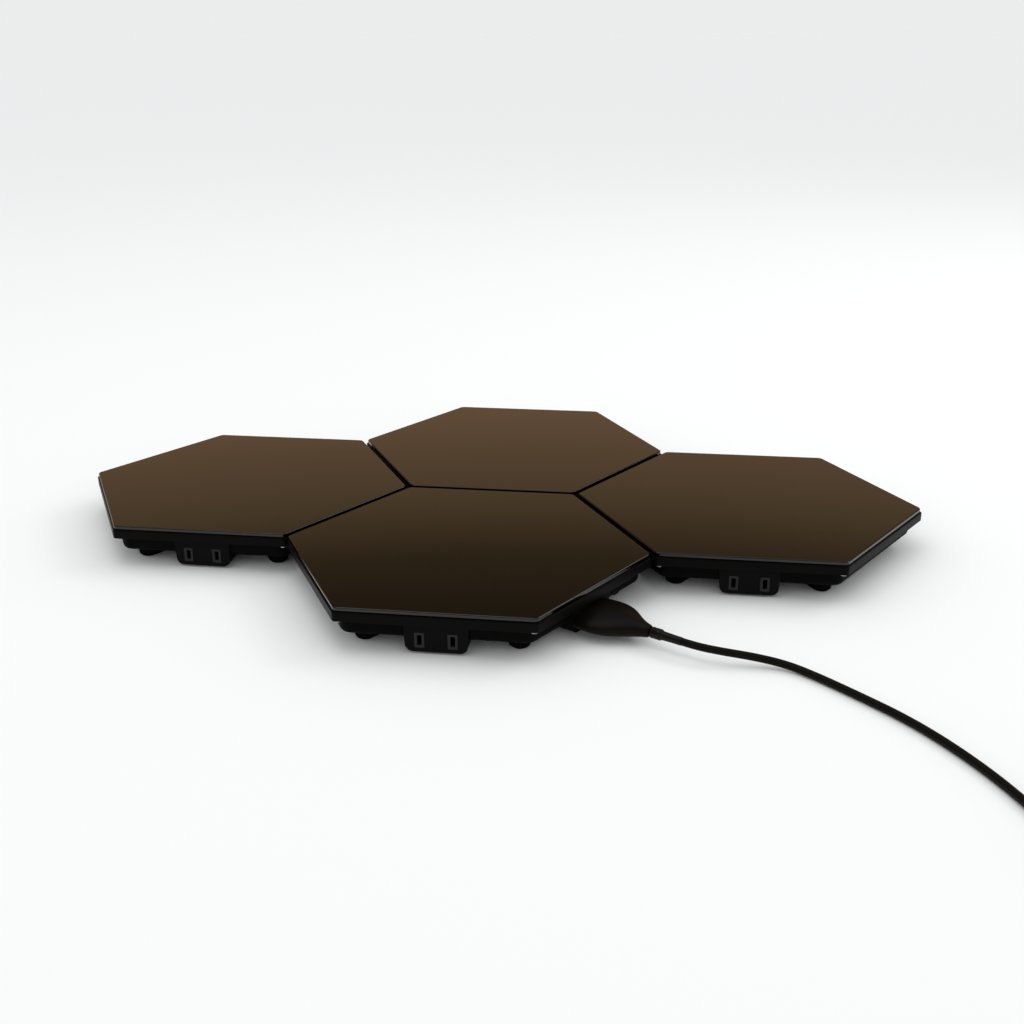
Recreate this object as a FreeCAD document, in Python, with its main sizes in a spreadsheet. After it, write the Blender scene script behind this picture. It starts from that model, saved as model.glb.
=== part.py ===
"""Modular electric food warmer: four hexagonal warming tiles joined in a honeycomb, with their lead.

Millimetres, +Z up. The origin is on the table under the middle of the four tiles. Every tile is the
same unit, turned in steps of a sixth of a turn. A tile has a glass top on a skirted frame, a moulded
pan under it, and four socket housings side by side. Blade links carry power from tile to tile, and
the appliance plug of the lead feeds the front tile.
"""
import FreeCAD, Part
import math
import os
import re

import Sketcher

Vector = FreeCAD.Vector

# Driving dimensions, in millimetres unless the name says otherwise.
SIZES = {
    "pitch": 270.0,
    "total_height": 37.0,
    "glass_flat": 264.6,
    "glass_thick": 3.0,
    "glass_bevel": 0.9,
    "glass_corner": 3.0,
    "seal_flat": 262.0,
    "seal_opening": 243.0,
    "seal_thick": 0.6,
    "film_flat": 240.0,
    "film_thick": 0.8,
    "insulation_flat": 231.0,
    "frame_flat": 267.0,
    "frame_inside": 264.0,
    "frame_height": 7.7,
    "frame_flange": 1.5,
    "frame_corner": 3.5,
    "frame_lip": 0.8,
    "boss_place": 148.0,
    "boss_radius": 4.5,
    "boss_hole": 1.25,
    "pan_flat": 251.0,
    "pan_inside": 246.0,
    "pan_flange_flat": 263.4,
    "pan_flange": 2.0,
    "pan_bottom": 11.5,
    "pan_floor": 2.5,
    "pan_corner": 10.0,
    "pan_edge": 5.0,
    "rib_thick": 3.0,
    "rib_length": 56.0,
    "rib_place": 68.0,
    "screw_hole": 1.6,
    "screw_radius": 1.2,
    "screw_length": 5.3,
    "screw_head_radius": 3.0,
    "screw_head": 1.6,
    "foot_place": 120.0,
    "foot_inner": 110.0,
    "foot_radius": 8.5,
    "foot_round": 4.0,
    "foot_stem": 2.5,
    "foot_stem_rise": 1.5,
    "housing_face": 127.5,
    "housing_depth": 32.0,
    "housing_width": 50.0,
    "housing_flat": 36.0,
    "housing_corner": 6.0,
    "housing_bottom": 2.0,
    "socket_spacing": 25.4,
    "socket_height": 11.6,
    "liner_width": 7.6,
    "liner_height": 12.3,
    "liner_depth": 3.0,
    "liner_proud": 0.4,
    "slot_width": 3.6,
    "slot_height": 8.5,
    "slot_depth": 18.0,
    "tab_width": 3.0,
    "tab_thick": 1.2,
    "tab_reach": 112.8,
    "tab_middle": 15.0,
    "bar_tall": 5.0,
    "bar_wide": 1.0,
    "live_flat": 188.0,
    "live_opening": 186.0,
    "live_bottom": 17.0,
    "neutral_flat": 178.0,
    "neutral_opening": 176.0,
    "blade_thick": 3.0,
    "blade_tall": 6.1,
    "blade_reach": 15.0,
    "connector_gap": 0.7,
    "link_width": 48.0,
    "link_tall": 17.0,
    "link_round": 2.5,
    "plug_length": 54.0,
    "plug_blade_inside": 24.0,
    "relief_collar": 4.5,
    "relief_collar_length": 9.0,
    "relief_start": 4.0,
    "relief_end": 3.3,
    "relief_length": 26.0,
    "cord_diameter": 6.0,
    "coil_spacing": 6.6,
    "coil_middle": 34.5,
    "coil_turns": 5.5,
    "coil_level": 3.8,
    "coil_lead_out": 24.0,
    "tie_thick": 0.8,
    "tie_wide": 6.0,
    "mains_length": 40.0,
    "mains_face": 34.0,
    "mains_tall": 20.4,
    "mains_tail": 7.0,
    "pin_inside": 8.0,
    "pin_radius": 2.4,
    "pin_length": 19.0,
    "pin_spacing": 19.0,
}

SIDE_STEP = 60.0
SOCKET_SIDES = 4
CORNERS = 6
FIRST_SOCKET_ANGLE = -90.0

# Each tile: place of its centre in pitches along X and Y, and its turn in degrees.
HALF_ROW = math.sqrt(3) / 2
TILES = {
    "front": (0.0, -0.5, 0.0),
    "back": (0.0, 0.5, -60.0),
    "left": (-HALF_ROW, 0.0, 0.0),
    "right": (HALF_ROW, 0.0, 180.0),
}

# Each link: the tile that it plugs into first, and the direction of that tile's side in degrees.
LINKS = {
    "front_back": ("front", 90.0),
    "front_right": ("front", 30.0),
    "back_left": ("back", 210.0),
}
PLUG_TILE, PLUG_ANGLE = "front", -30.0

# The lead's route after its strain relief: points chosen by hand, at the height of the cord's middle.
CORD_POINTS = [
    (210.0, -252.6, 7.6),
    (231.0, -255.2, 3.6),
    (255.0, -258.5, 3.0),
    (279.0, -271.0, 3.0),
    (305.0, -291.5, 3.0),
    (331.0, -316.0, 3.0),
    (355.0, -347.0, 3.0),
    (378.0, -385.0, 3.0),
    (396.0, -426.0, 3.3),
]
CORD_STRAIGHT = 14.0
COIL_START = (412.0, -466.0)

# Half sections of the appliance plug: distance from its face, width, and height above the split.
PLUG_SECTIONS = [
    (0.0, 52.0, 8.0),
    (11.0, 54.5, 8.6),
    (23.0, 49.0, 8.6),
    (35.0, 31.0, 7.6),
    (45.0, 15.0, 5.6),
    (54.0, 9.4, 4.7),
]

doc = FreeCAD.newDocument("FoodWarmer")
sheet = doc.addObject("Spreadsheet::Sheet", "Sizes")
for row, (alias, number) in enumerate(SIZES.items(), start=1):
    sheet.set(f"A{row}", alias)
    sheet.set(f"B{row}", str(number))
    sheet.setAlias(f"B{row}", alias)
doc.recompute()


def formula(text):
    """Return the text with every driving dimension written as a reference to its cell."""
    return re.sub(r"[a-z_]{2,}", lambda word: "Sizes." + word[0] if word[0] in SIZES else word[0], text)


def number(text):
    """Work out a sum or difference of driving dimensions, each of which may be divided by a number."""
    total = 0.0
    for sign, word, divisor in re.findall(r"([+-]?)\s*([a-z_]+|[\d.]+)(?:\s*/\s*([\d.]+))?", text):
        size = SIZES[word] if word in SIZES else float(word)
        total += (-size if sign == "-" else size) / float(divisor or 1)
    return total


def bind(thing, **properties):
    """Bind properties of an object to formulas of the driving dimensions."""
    for name, text in properties.items():
        thing.setExpression(name.replace("__", "."), formula(text))


def origin_plane(body, role):
    """Return one of a body's own origin planes or axes."""
    return next(item for item in body.Origin.OriginFeatures if item.Role == role)


def new_body(label):
    """Return a new body that may hold a group of solids."""
    body = doc.addObject("PartDesign::Body", label)
    body.Label = label
    body.AllowCompound = True
    return body


def new_sketch(body, role="XY_Plane", height="0"):
    """Return a new sketch on one of the body's planes, at a height along the plane's normal."""
    sketch = body.newObject("Sketcher::SketchObject", "Sketch")
    sketch.AttachmentSupport = [(origin_plane(body, role), "")]
    sketch.MapMode = "FlatFace"
    bind(sketch, AttachmentOffset__Base__z=height)
    return sketch


def constrain(sketch, kind, *terms, text=None):
    """Add a constraint, bound to a formula where one is given."""
    index = sketch.addConstraint(Sketcher.Constraint(kind, *terms))
    if text is not None:
        name = f"size_{index}"
        sketch.renameConstraint(index, name)
        sketch.setExpression(f"Constraints.{name}", formula(text))
    return index


def join_ends(sketch, first, count):
    """Join a run of lines end to end in a closed loop."""
    for side in range(count):
        constrain(sketch, "Coincident", first + side, 2, first + (side + 1) % count, 1)


def add_hexagon(sketch, flat):
    """Draw a hexagon about the origin, with two sides along X, by its width across flats."""
    corner = SIZES[flat] / math.sqrt(3)
    points = [Vector(corner * math.cos(math.radians(SIDE_STEP * i)),
                     corner * math.sin(math.radians(SIDE_STEP * i)), 0) for i in range(CORNERS)]
    first = sketch.GeometryCount
    for i in range(CORNERS):
        sketch.addGeometry(Part.LineSegment(points[i], points[(i + 1) % CORNERS]), False)
    ring = sketch.addGeometry(Part.Circle(Vector(0, 0, 0), Vector(0, 0, 1), corner), True)
    join_ends(sketch, first, CORNERS)
    constrain(sketch, "Coincident", ring, 3, -1, 1)
    for i in range(CORNERS):
        constrain(sketch, "PointOnObject", first + i, 1, ring)
    for i in range(1, CORNERS):
        constrain(sketch, "Equal", first, first + i)
    constrain(sketch, "Horizontal", first + 4)
    constrain(sketch, "Radius", ring, corner, text=f"{flat} / sqrt(3)")


def add_rectangle(sketch, width, height, centre=None):
    """Draw an upright rectangle about the origin or about a point of the sketch."""
    half_w, half_h = SIZES[width] / 2, SIZES[height] / 2
    place = sketch.Geometry[centre] if centre is not None else None
    mid = Vector(place.X, place.Y, 0) if place is not None else Vector(0, 0, 0)
    corners = [mid + Vector(x * half_w, y * half_h, 0) for x, y in ((-1, -1), (1, -1), (1, 1), (-1, 1))]
    first = sketch.GeometryCount
    for i in range(4):
        sketch.addGeometry(Part.LineSegment(corners[i], corners[(i + 1) % 4]), False)
    join_ends(sketch, first, 4)
    for side, kind in enumerate(("Horizontal", "Vertical", "Horizontal", "Vertical")):
        constrain(sketch, kind, first + side)
    hub = (-1, 1) if centre is None else (centre, 1)
    constrain(sketch, "Symmetric", first, 1, first + 2, 1, *hub)
    constrain(sketch, "DistanceX", first, 1, first, 2, SIZES[width], text=width)
    constrain(sketch, "DistanceY", first + 1, 1, first + 1, 2, SIZES[height], text=height)


def add_pair_of_points(sketch, spacing, height):
    """Add two construction points at a height, each side of the vertical axis; return both."""
    half, level = SIZES[spacing] / 2, SIZES[height]
    pair = [sketch.addGeometry(Part.Point(Vector(x, level, 0)), True) for x in (-half, half)]
    constrain(sketch, "Symmetric", pair[0], 1, pair[1], 1, -2)
    constrain(sketch, "DistanceX", pair[0], 1, pair[1], 1, 2 * half, text=spacing)
    constrain(sketch, "DistanceY", -1, 1, pair[1], 1, level, text=height)
    return pair


def add_circle(sketch, radius, place=None):
    """Draw a circle about the origin, or about a point at a distance along X."""
    x = SIZES[place] if place else 0.0
    circle = sketch.addGeometry(Part.Circle(Vector(x, 0, 0), Vector(0, 0, 1), SIZES[radius]), False)
    if place:
        constrain(sketch, "PointOnObject", circle, 3, -1)
        constrain(sketch, "DistanceX", -1, 1, circle, 3, x, text=place)
    else:
        constrain(sketch, "Coincident", circle, 3, -1, 1)
    constrain(sketch, "Radius", circle, SIZES[radius], text=radius)


def pad(body, sketch, length, back=False):
    """Pad a sketch by a length, along its normal or back against it."""
    feature = body.newObject("PartDesign::Pad", "Pad")
    feature.Profile = sketch
    feature.Reversed = back
    bind(feature, Length=length)
    return feature


def pocket(body, sketch, length, back=False):
    """Cut a sketch by a depth, down from it or, if back, along its normal."""
    feature = body.newObject("PartDesign::Pocket", "Pocket")
    feature.Profile = sketch
    feature.Reversed = back
    bind(feature, Length=length)
    return feature


def around(body, features, count, angle):
    """Repeat features about the body's Z axis."""
    pattern = body.newObject("PartDesign::PolarPattern", "PolarPattern")
    pattern.Originals = features
    pattern.Axis = (origin_plane(body, "Z_Axis"), [""])
    pattern.Angle = angle
    pattern.Occurrences = count
    body.Tip = pattern
    return pattern


def edges_where(shape, test):
    """Name the edges of a shape whose middle point and direction pass a test."""
    names = []
    for index, edge in enumerate(shape.Edges, start=1):
        middle = edge.valueAt((edge.FirstParameter + edge.LastParameter) / 2)
        run = edge.Vertexes[-1].Point - edge.Vertexes[0].Point
        if test(middle, run):
            names.append(f"Edge{index}")
    return names


def upright(middle, run):
    """Tell whether an edge stands along Z."""
    return abs(run.z) > 0.99 * run.Length


def dress(body, kind, base, test, size):
    """Fillet or chamfer the edges of a feature that pass a test."""
    doc.recompute()
    feature = body.newObject(f"PartDesign::{kind}", kind)
    feature.Base = (base, edges_where(base.Shape, test))
    bind(feature, **{"Radius" if kind == "Fillet" else "Size": size})
    return feature


def level(height):
    """Return a test for flat edges at a height."""
    return lambda middle, run: abs(middle.z - height) < 1e-4 and abs(run.z) < 1e-6


FRAME_TOP = "total_height - glass_thick - seal_thick"
FRAME_BOTTOM = FRAME_TOP + " - frame_height"
frame_top = number(FRAME_TOP)
frame_bottom = number(FRAME_BOTTOM)


def glass_top(label):
    """Hexagonal tempered glass plate with eased corners and a bevel round its top edge."""
    body = new_body(label)
    sketch = new_sketch(body, height="total_height - glass_thick")
    add_hexagon(sketch, "glass_flat")
    plate = pad(body, sketch, "glass_thick")
    eased = dress(body, "Fillet", plate, upright, "glass_corner")
    dress(body, "Chamfer", eased, level(SIZES["total_height"]), "glass_bevel")
    return body


def flat_ring(label, outside, opening, bottom, thick):
    """Flat hexagonal ring."""
    body = new_body(label)
    sketch = new_sketch(body, height=bottom)
    add_hexagon(sketch, outside)
    add_hexagon(sketch, opening)
    pad(body, sketch, thick)
    return body


def flat_sheet(label, flat, bottom, thick):
    """Flat hexagonal sheet."""
    body = new_body(label)
    sketch = new_sketch(body, height=bottom)
    add_hexagon(sketch, flat)
    pad(body, sketch, thick)
    return body


def top_frame(label):
    """Skirted frame: an upright skirt, a flange that carries the glass, and a screw boss per corner."""
    body = new_body(label)
    outline = new_sketch(body, height=FRAME_BOTTOM)
    add_hexagon(outline, "frame_flat")
    block = pad(body, outline, "frame_height")
    eased = dress(body, "Fillet", block, upright, "frame_corner")
    dress(body, "Chamfer", eased, level(frame_top), "frame_lip")
    inside = new_sketch(body, height=FRAME_BOTTOM)
    add_hexagon(inside, "frame_inside")
    pocket(body, inside, "frame_height - frame_flange", back=True)
    opening = new_sketch(body, height=FRAME_TOP)
    add_hexagon(opening, "seal_opening")
    pocket(body, opening, "frame_height")
    boss = new_sketch(body, height=FRAME_BOTTOM + " + pan_flange")
    add_circle(boss, "boss_radius", "boss_place")
    add_circle(boss, "boss_hole", "boss_place")
    around(body, [pad(body, boss, "frame_height - frame_flange - pan_flange")], CORNERS, 360.0)
    return body


def housing_outline(sketch):
    """Draw a socket housing's front: wide at the top, with tapered sides and rounded lower corners."""
    half_top, half_flat = SIZES["housing_width"] / 2, SIZES["housing_flat"] / 2
    low, radius = SIZES["housing_bottom"], SIZES["housing_corner"]
    hub = Vector(half_flat, low + radius, 0)
    reach = Vector(half_top, frame_bottom, 0) - hub
    lean = math.atan2(reach.y, reach.x) - math.acos(radius / reach.Length)
    touch = hub + Vector(radius * math.cos(lean), radius * math.sin(lean), 0)
    top_right, low_right = Vector(half_top, frame_bottom, 0), Vector(half_flat, low, 0)
    mirrored = [Vector(-point.x, point.y, 0) for point in (top_right, touch, low_right, hub)]
    top_left, touch_left, low_left, hub_left = mirrored
    normal = Vector(0, 0, 1)
    top = sketch.addGeometry(Part.LineSegment(top_right, top_left), False)
    left = sketch.addGeometry(Part.LineSegment(top_left, touch_left), False)
    turn_left = sketch.addGeometry(Part.ArcOfCircle(
        Part.Circle(hub_left, normal, radius), math.pi - lean, 1.5 * math.pi), False)
    flat = sketch.addGeometry(Part.LineSegment(low_left, low_right), False)
    turn_right = sketch.addGeometry(Part.ArcOfCircle(
        Part.Circle(hub, normal, radius), -0.5 * math.pi, lean), False)
    right = sketch.addGeometry(Part.LineSegment(touch, top_right), False)
    constrain(sketch, "Coincident", top, 2, left, 1)
    constrain(sketch, "Coincident", right, 2, top, 1)
    constrain(sketch, "Tangent", left, 2, turn_left, 1)
    constrain(sketch, "Tangent", turn_left, 2, flat, 1)
    constrain(sketch, "Tangent", flat, 2, turn_right, 1)
    constrain(sketch, "Tangent", turn_right, 2, right, 1)
    constrain(sketch, "Equal", turn_left, turn_right)
    constrain(sketch, "Symmetric", top, 1, top, 2, -2)
    constrain(sketch, "Symmetric", flat, 1, flat, 2, -2)
    constrain(sketch, "Radius", turn_right, radius, text="housing_corner")
    constrain(sketch, "DistanceX", top, 2, top, 1, 2 * half_top, text="housing_width")
    constrain(sketch, "DistanceX", flat, 1, flat, 2, 2 * half_flat, text="housing_flat")
    constrain(sketch, "DistanceY", -1, 1, flat, 2, low, text="housing_bottom")
    constrain(sketch, "DistanceY", -1, 1, top, 1, frame_bottom, text=FRAME_BOTTOM)


def base_pan(label):
    """Moulded pan: inset tub with rounded edges, screw flange, ribs, foot holes and housing notches."""
    body = new_body(label)
    outline = new_sketch(body, height="pan_bottom")
    add_hexagon(outline, "pan_flat")
    tub = pad(body, outline, FRAME_BOTTOM + " - pan_bottom")
    eased = dress(body, "Fillet", tub, upright, "pan_corner")
    dress(body, "Fillet", eased, level(SIZES["pan_bottom"]), "pan_edge")
    flange = new_sketch(body, height=FRAME_BOTTOM)
    add_hexagon(flange, "pan_flange_flat")
    pad(body, flange, "pan_flange")
    hollow = new_sketch(body, height=FRAME_BOTTOM + " + pan_flange")
    add_hexagon(hollow, "pan_inside")
    pocket(body, hollow, FRAME_BOTTOM + " + pan_flange - pan_bottom - pan_floor")
    rib = new_sketch(body, height="pan_bottom + pan_floor")
    spot = rib.addGeometry(Part.Point(Vector(SIZES["rib_place"], 0, 0)), True)
    constrain(rib, "PointOnObject", spot, 1, -1)
    constrain(rib, "DistanceX", -1, 1, spot, 1, SIZES["rib_place"], text="rib_place")
    add_rectangle(rib, "rib_length", "rib_thick", centre=spot)
    around(body, [pad(body, rib, FRAME_BOTTOM + " - pan_bottom - pan_floor")], CORNERS, 360.0)
    holes = new_sketch(body, height=FRAME_BOTTOM + " + pan_flange")
    add_circle(holes, "screw_hole", "boss_place")
    around(body, [pocket(body, holes, "pan_flange")], CORNERS, 360.0)
    seats = new_sketch(body, height="pan_bottom + pan_floor")
    add_circle(seats, "foot_stem", "foot_place")
    around(body, [pocket(body, seats, "pan_floor")], CORNERS, 360.0)
    notch = new_sketch(body, role="XZ_Plane", height="housing_face")
    housing_outline(notch)
    around(body, [pocket(body, notch, "housing_depth")], SOCKET_SIDES, 180.0)
    return body


def socket_housings(label):
    """Four socket housings, each a tapered block with two blade slots and a slit for each bus tab."""
    body = new_body(label)
    front = new_sketch(body, role="XZ_Plane", height="housing_face")
    housing_outline(front)
    block = pad(body, front, "housing_depth", back=True)
    seat = new_sketch(body, role="XZ_Plane", height="housing_face")
    for spot in add_pair_of_points(seat, "socket_spacing", "socket_height"):
        add_rectangle(seat, "liner_width", "liner_height", centre=spot)
    seats = pocket(body, seat, "liner_depth")
    slot = new_sketch(body, role="XZ_Plane", height="housing_face")
    for spot in add_pair_of_points(slot, "socket_spacing", "socket_height"):
        add_rectangle(slot, "slot_width", "slot_height", centre=spot)
    slots = pocket(body, slot, "slot_depth")
    slit = new_sketch(body, role="XZ_Plane", height="housing_face - housing_depth")
    for spot in add_pair_of_points(slit, "socket_spacing", "tab_middle"):
        add_rectangle(slit, "slot_width", "tab_thick", centre=spot)
    slits = pocket(body, slit, "tab_reach - housing_face + housing_depth", back=True)
    around(body, [block, seats, slots, slits], SOCKET_SIDES, 180.0)
    return body


def socket_liners(label):
    """Eight rectangular rings, one round the mouth of each blade slot."""
    body = new_body(label)
    ring = new_sketch(body, role="XZ_Plane", height="housing_face - liner_depth")
    for spot in add_pair_of_points(ring, "socket_spacing", "socket_height"):
        add_rectangle(ring, "liner_width", "liner_height", centre=spot)
        add_rectangle(ring, "slot_width", "slot_height", centre=spot)
    around(body, [pad(body, ring, "liner_depth + liner_proud")], SOCKET_SIDES, 180.0)
    return body


def bus_bars(label):
    """Live and neutral bus bars: two strips on edge round the pan, each with a tab into each housing."""
    body = new_body(label)
    tab_bottom = "tab_middle - tab_thick / 2"
    live = new_sketch(body, height="live_bottom")
    add_hexagon(live, "live_flat")
    add_hexagon(live, "live_opening")
    pad(body, live, "bar_tall")
    neutral = new_sketch(body, height=tab_bottom)
    add_hexagon(neutral, "neutral_flat")
    add_hexagon(neutral, "neutral_opening")
    pad(body, neutral, "bar_tall")
    legs = []
    for sign, flat, top in ((-1, "live_flat", "live_bottom"), (1, "neutral_flat", "tab_middle")):
        for name, start, tall in (("leg", f"{flat} / 2 - bar_wide", f"{top} - tab_middle + tab_thick / 2"),
                                  ("tab", f"{flat} / 2", "tab_thick")):
            strip = new_sketch(body, height=tab_bottom)
            reach = "bar_wide" if name == "leg" else f"tab_reach - {flat} / 2"
            strip_rectangle(strip, sign, start, reach)
            legs.append(pad(body, strip, tall))
    around(body, legs, SOCKET_SIDES, 180.0)
    return body


def strip_rectangle(sketch, sign, start, reach):
    """Draw a tab's outline, one tab wide, at one socket of the pair and running outwards along -Y."""
    x, half = sign * SIZES["socket_spacing"] / 2, SIZES["tab_width"] / 2
    near, far = -SIZES["live_flat"] / 2, -SIZES["tab_reach"]
    corners = [Vector(x - half, near, 0), Vector(x - half, far, 0),
               Vector(x + half, far, 0), Vector(x + half, near, 0)]
    first = sketch.GeometryCount
    for i in range(4):
        sketch.addGeometry(Part.LineSegment(corners[i], corners[(i + 1) % 4]), False)
    join_ends(sketch, first, 4)
    for side, kind in enumerate(("Vertical", "Horizontal", "Vertical", "Horizontal")):
        constrain(sketch, kind, first + side)
    outer = (first, 1) if sign < 0 else (first + 3, 1)
    span = "socket_spacing / 2 + tab_width / 2"
    if sign < 0:
        constrain(sketch, "DistanceX", *outer, -1, 1, abs(x) + half, text=span)
    else:
        constrain(sketch, "DistanceX", -1, 1, *outer, abs(x) + half, text=span)
    constrain(sketch, "DistanceX", first + 1, 1, first + 1, 2, 2 * half, text="tab_width")
    constrain(sketch, "DistanceY", first, 1, -1, 1, -near, text=start)
    constrain(sketch, "DistanceY", first, 2, first, 1, near - far, text=reach)


def place_point(sketch, line, end, across, up):
    """Hold a sketch point at formulas for its distances from the two axes."""
    if number(across) == 0:
        constrain(sketch, "PointOnObject", line, end, -2)
    else:
        constrain(sketch, "DistanceX", -1, 1, line, end, number(across), text=across)
    if number(up) == 0:
        constrain(sketch, "PointOnObject", line, end, -1)
    else:
        constrain(sketch, "DistanceY", -1, 1, line, end, number(up), text=up)


def revolved_at(body, place, profile):
    """Revolve a half profile of (radius, height) formulas about an upright line at a place along X.

    The profile starts and ends on that line.
    """
    sketch = new_sketch(body, role="XZ_Plane")
    spots = [(f"{place} + {radius}", up) for radius, up in profile]
    points = [Vector(number(across), number(up), 0) for across, up in spots]
    count = len(points)
    for i in range(count):
        sketch.addGeometry(Part.LineSegment(points[i], points[(i + 1) % count]), False)
    join_ends(sketch, 0, count)
    for i in range(count):
        place_point(sketch, i, 1, *spots[i])
    axis = sketch.addGeometry(Part.LineSegment(points[0], points[-1]), True)
    constrain(sketch, "Coincident", axis, 1, 0, 1)
    constrain(sketch, "Coincident", axis, 2, count - 1, 1)
    feature = body.newObject("PartDesign::Revolution", "Revolution")
    feature.Profile = sketch
    feature.ReferenceAxis = (sketch, ["Axis0"])
    feature.Angle = 360.0
    return feature


def add_slot(sketch, inner, outer, radius):
    """Draw a slot along X, with a round end about each of two places on that axis."""
    near, far, half = SIZES[inner], SIZES[outer], SIZES[radius]
    up = Vector(0, 0, 1)
    right_end = sketch.addGeometry(Part.ArcOfCircle(
        Part.Circle(Vector(far, 0, 0), up, half), -0.5 * math.pi, 0.5 * math.pi), False)
    top = sketch.addGeometry(Part.LineSegment(Vector(far, half, 0), Vector(near, half, 0)), False)
    left_end = sketch.addGeometry(Part.ArcOfCircle(
        Part.Circle(Vector(near, 0, 0), up, half), 0.5 * math.pi, 1.5 * math.pi), False)
    low = sketch.addGeometry(Part.LineSegment(Vector(near, -half, 0), Vector(far, -half, 0)), False)
    constrain(sketch, "Tangent", right_end, 2, top, 1)
    constrain(sketch, "Tangent", top, 2, left_end, 1)
    constrain(sketch, "Tangent", left_end, 2, low, 1)
    constrain(sketch, "Tangent", low, 2, right_end, 1)
    for end, place, text in ((left_end, near, inner), (right_end, far, outer)):
        constrain(sketch, "PointOnObject", end, 3, -1)
        constrain(sketch, "DistanceX", -1, 1, end, 3, place, text=text)
    constrain(sketch, "Radius", right_end, half, text=radius)


def rubber_feet(label):
    """Six long feet that point at the corners, with rounded soles, each with a stem through the pan."""
    body = new_body(label)
    sole = new_sketch(body)
    add_slot(sole, "foot_inner", "foot_place", "foot_radius")
    block = pad(body, sole, "pan_bottom")
    stem = new_sketch(body, height="pan_bottom")
    add_circle(stem, "foot_stem", "foot_place")
    feet = around(body, [block, pad(body, stem, "pan_floor + foot_stem_rise")], CORNERS, 360.0)
    dress(body, "Fillet", feet, level(0.0), "foot_round")
    return body


def pan_screws(label):
    """Six pan head screws, one near each corner, driven from below into the frame's bosses."""
    body = new_body(label)
    screw = revolved_at(body, "boss_place", [
        ("0", FRAME_BOTTOM + " - screw_head"),
        ("screw_head_radius", FRAME_BOTTOM + " - screw_head"),
        ("screw_head_radius", FRAME_BOTTOM),
        ("screw_radius", FRAME_BOTTOM),
        ("screw_radius", FRAME_BOTTOM + " + screw_length"),
        ("0", FRAME_BOTTOM + " + screw_length"),
    ])
    around(body, [screw], CORNERS, 360.0)
    return body


TILE_PIECES = {
    "glass_top": glass_top,
    "glass_seal": lambda label: flat_ring(label, "seal_flat", "seal_opening", FRAME_TOP, "seal_thick"),
    "heating_film": lambda label: flat_sheet(
        label, "film_flat", "total_height - glass_thick - film_thick", "film_thick"),
    "insulation_board": lambda label: flat_sheet(
        label, "insulation_flat", FRAME_BOTTOM, "frame_height + seal_thick - film_thick"),
    "top_frame": top_frame,
    "base_pan": base_pan,
    "socket_housings": socket_housings,
    "socket_liners": socket_liners,
    "bus_bars": bus_bars,
    "rubber_feet": rubber_feet,
    "pan_screws": pan_screws,
}


def tile_centre(tile):
    """Return the centre of a tile on the table."""
    across, away, _ = TILES[tile]
    return Vector(across * SIZES["pitch"], away * SIZES["pitch"], 0)


def set_on_tile(piece, tile, turn):
    """Put a piece at a tile's centre, turned about Z."""
    across, away, _ = TILES[tile]
    piece.Placement = FreeCAD.Placement(tile_centre(tile), FreeCAD.Rotation(Vector(0, 0, 1), turn))
    bind(piece, Placement__Base__x=f"pitch * {across}", Placement__Base__y=f"pitch * {away}")
    return piece


def pair_across(sketch, width, height):
    """Draw a rectangle at each of the two socket centres."""
    for spot in add_pair_of_points(sketch, "socket_spacing", "socket_height"):
        add_rectangle(sketch, width, height, centre=spot)


def link_connector(label):
    """Moulded block that fills the gap between two facing housings, with a hole for each blade."""
    body = new_body(label)
    outline = new_sketch(body, role="YZ_Plane", height="housing_face + connector_gap")
    spot = outline.addGeometry(Part.Point(Vector(0, SIZES["socket_height"], 0)), True)
    constrain(outline, "PointOnObject", spot, 1, -2)
    constrain(outline, "DistanceY", -1, 1, spot, 1, SIZES["socket_height"], text="socket_height")
    add_rectangle(outline, "link_width", "link_tall", centre=spot)
    length = "pitch - housing_face - housing_face - connector_gap - connector_gap"
    block = pad(body, outline, length)
    dress(body, "Fillet", block, lambda middle, run: abs(run.x) > 1, "link_round")
    holes = new_sketch(body, role="YZ_Plane", height="housing_face + connector_gap")
    pair_across(holes, "blade_thick", "blade_tall")
    pocket(body, holes, length, back=True)
    return body


def blades(label, start, length):
    """Two flat contact blades that run outwards along X."""
    body = new_body(label)
    ends = new_sketch(body, role="YZ_Plane", height=start)
    pair_across(ends, "blade_thick", "blade_tall")
    pad(body, ends, length)
    return body


def part_feature(label, shape):
    """Add a shape that neither bodies nor primitives suit."""
    piece = doc.addObject("Part::Feature", label)
    piece.Label = label
    piece.Shape = shape
    return piece


def crowned_section(along, width, rise, side):
    """Return a closed half section across X: a flat split line, blunt edges and a crowned back."""
    half, level_z = width / 2, SIZES["socket_height"]
    blunt = 0.3 * rise
    corners = [Vector(along, y, level_z + side * z) for y, z in
               ((-half, 0), (half, 0), (half, blunt), (0, rise), (-half, blunt))]
    edges = [Part.LineSegment(corners[0], corners[1]), Part.LineSegment(corners[1], corners[2]),
             Part.Arc(corners[2], corners[3], corners[4]), Part.LineSegment(corners[4], corners[0])]
    return Part.Wire([edge.toShape() for edge in edges])


def plug_shell(label, side, contact_blades):
    """Half of the appliance plug, above or below its split, hollowed where it grips the blades."""
    face = number("housing_face + connector_gap")
    sections = [crowned_section(face + along, width, rise, side) for along, width, rise in PLUG_SECTIONS]
    shell = Part.makeLoft(sections, True, False)
    return part_feature(label, shell.cut(contact_blades.Shape))


def turned(profile, start, height):
    """Revolve a list of (distance along X, radius) about a level axis into a solid."""
    near, far = start + profile[0][0], start + profile[-1][0]
    points = [Vector(near, 0, height)] + [Vector(start + x, 0, height + r) for x, r in profile]
    points += [Vector(far, 0, height), Vector(near, 0, height)]
    face = Part.Face(Part.makePolygon(points))
    return face.revolve(Vector(0, 0, height), Vector(1, 0, 0), 360)


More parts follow.
